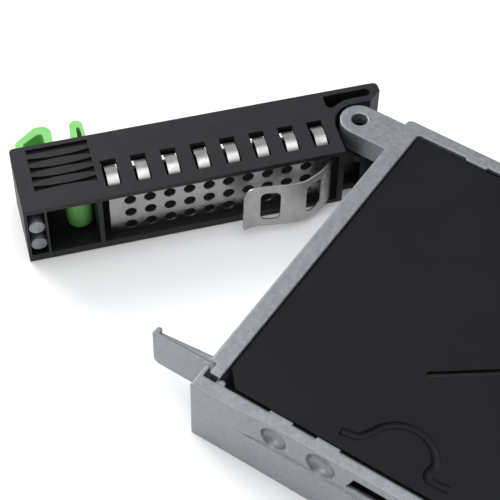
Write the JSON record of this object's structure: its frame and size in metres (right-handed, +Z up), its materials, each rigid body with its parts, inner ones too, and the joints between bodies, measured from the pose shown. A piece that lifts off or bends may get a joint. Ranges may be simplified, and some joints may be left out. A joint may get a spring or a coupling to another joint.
{
  "type": "hot-swap hard disk drive",
  "caption": "2.5 inch hard disk drive in a cast hot-swap carrier, with a vented swing handle, a sliding green latch and a rear plug",
  "frame": {"origin": "centre of the front bar's underside, midway between the rails", "axes": "+Y runs from the handle to the rear plug, +Z up through the drive's thin side, +X across the drive towards the latch side"},
  "size_m": [0.0807, 0.1697, 0.0154],
  "materials": {
    "cast_metal": "die-cast, satin",
    "black_plastic": "moulded, fine texture",
    "black_sheet": "thin matt film",
    "spring_steel": "rolled strip",
    "screw_steel": "turned",
    "green_plastic": "moulded, smooth",
    "clear_plastic": "clear light pipe",
    "black_coat": "black electrophoretic coat",
    "aluminium": "cast and machined",
    "disk_coating": "mirror-smooth disk",
    "magnet_plate": "nickel plated",
    "copper": "enamelled wire",
    "rubber": "matt seal",
    "amber_film": "polyimide film",
    "board_green": "solder mask",
    "chip_black": "moulded package",
    "white_plastic": "moulded",
    "label_film": "blank printed film"
  },
  "bodies": {
    "carrier": {"carrier_frame": "cast_metal", "hinge_pin": "black_coat", "side_pin_near_front": "cast_metal", "side_pin_near_rear": "cast_metal", "side_pin_far_front": "cast_metal", "side_pin_far_rear": "cast_metal", "drive_base": "black_coat", "drive_cover": "aluminium", "cover_gasket": "rubber", "blank_label": "label_film", "insulator_sheet": "black_sheet", "spindle_shaft": "screw_steel", "motor_stator": "copper", "pivot_bearing": "screw_steel", "lower_yoke": "magnet_plate", "upper_yoke": "magnet_plate", "lower_magnet": "magnet_plate", "upper_magnet": "magnet_plate", "parking_ramp": "white_plastic", "flex_cable": "amber_film", "flex_bracket": "white_plastic", "breather_filter": "white_plastic", "circuit_board": "board_green", "controller_chip": "chip_black", "motor_driver_chip": "chip_black", "sas_plug": "chip_black", "cover_screw_1": "screw_steel", "cover_screw_2": "screw_steel", "cover_screw_3": "screw_steel", "cover_screw_4": "screw_steel", "cover_screw_5": "screw_steel", "cover_screw_6": "screw_steel", "board_screw_1": "screw_steel", "board_screw_2": "screw_steel", "board_screw_3": "screw_steel", "board_screw_4": "screw_steel"},
    "handle": {"handle_housing": "black_plastic", "front_grille": "black_plastic", "emi_shield": "spring_steel", "contact_finger_strip": "spring_steel", "leaf_spring": "spring_steel", "light_pipe_upper": "clear_plastic", "light_pipe_lower": "clear_plastic", "finger_rest": "green_plastic", "latch_spring": "spring_steel"},
    "latch": {"latch_slider": "green_plastic"},
    "spindle": {"spindle_hub": "aluminium", "platter_1": "disk_coating", "platter_2": "disk_coating", "disk_spacer": "aluminium", "disk_clamp": "aluminium", "clamp_screw_1": "screw_steel", "clamp_screw_2": "screw_steel", "clamp_screw_3": "screw_steel"},
    "actuator": {"actuator_arm": "aluminium", "head_suspension_1": "spring_steel", "head_suspension_2": "spring_steel", "head_suspension_3": "spring_steel", "head_suspension_4": "spring_steel", "voice_coil": "copper"}
  },
  "joints": [
    {"name": "handle_swing", "type": "hinge", "parent": "carrier", "child": "handle", "pos_m": [-0.03209, -0.00987, 0.0075], "axis": [0, 0, 1], "range_deg": [0, 41.4], "deforming": ["leaf_spring"]},
    {"name": "latch_slide", "type": "slide", "parent": "handle", "child": "latch", "axis": [-0.7497, 0.6618, 0], "range_m": [0, 0.0013], "stiffness_N_per_m": 800, "springref_m": -0.0003, "deforming": ["latch_spring"]},
    {"name": "platter_spin", "type": "hinge", "parent": "carrier", "child": "spindle", "pos_m": [0, 0.04035, 0.007], "axis": [0, 0, 1], "continuous": true},
    {"name": "actuator_swing", "type": "hinge", "parent": "carrier", "child": "actuator", "pos_m": [-0.0165, 0.078, 0.007], "axis": [0, 0, -1], "range_deg": [0, 27]}
  ]
}
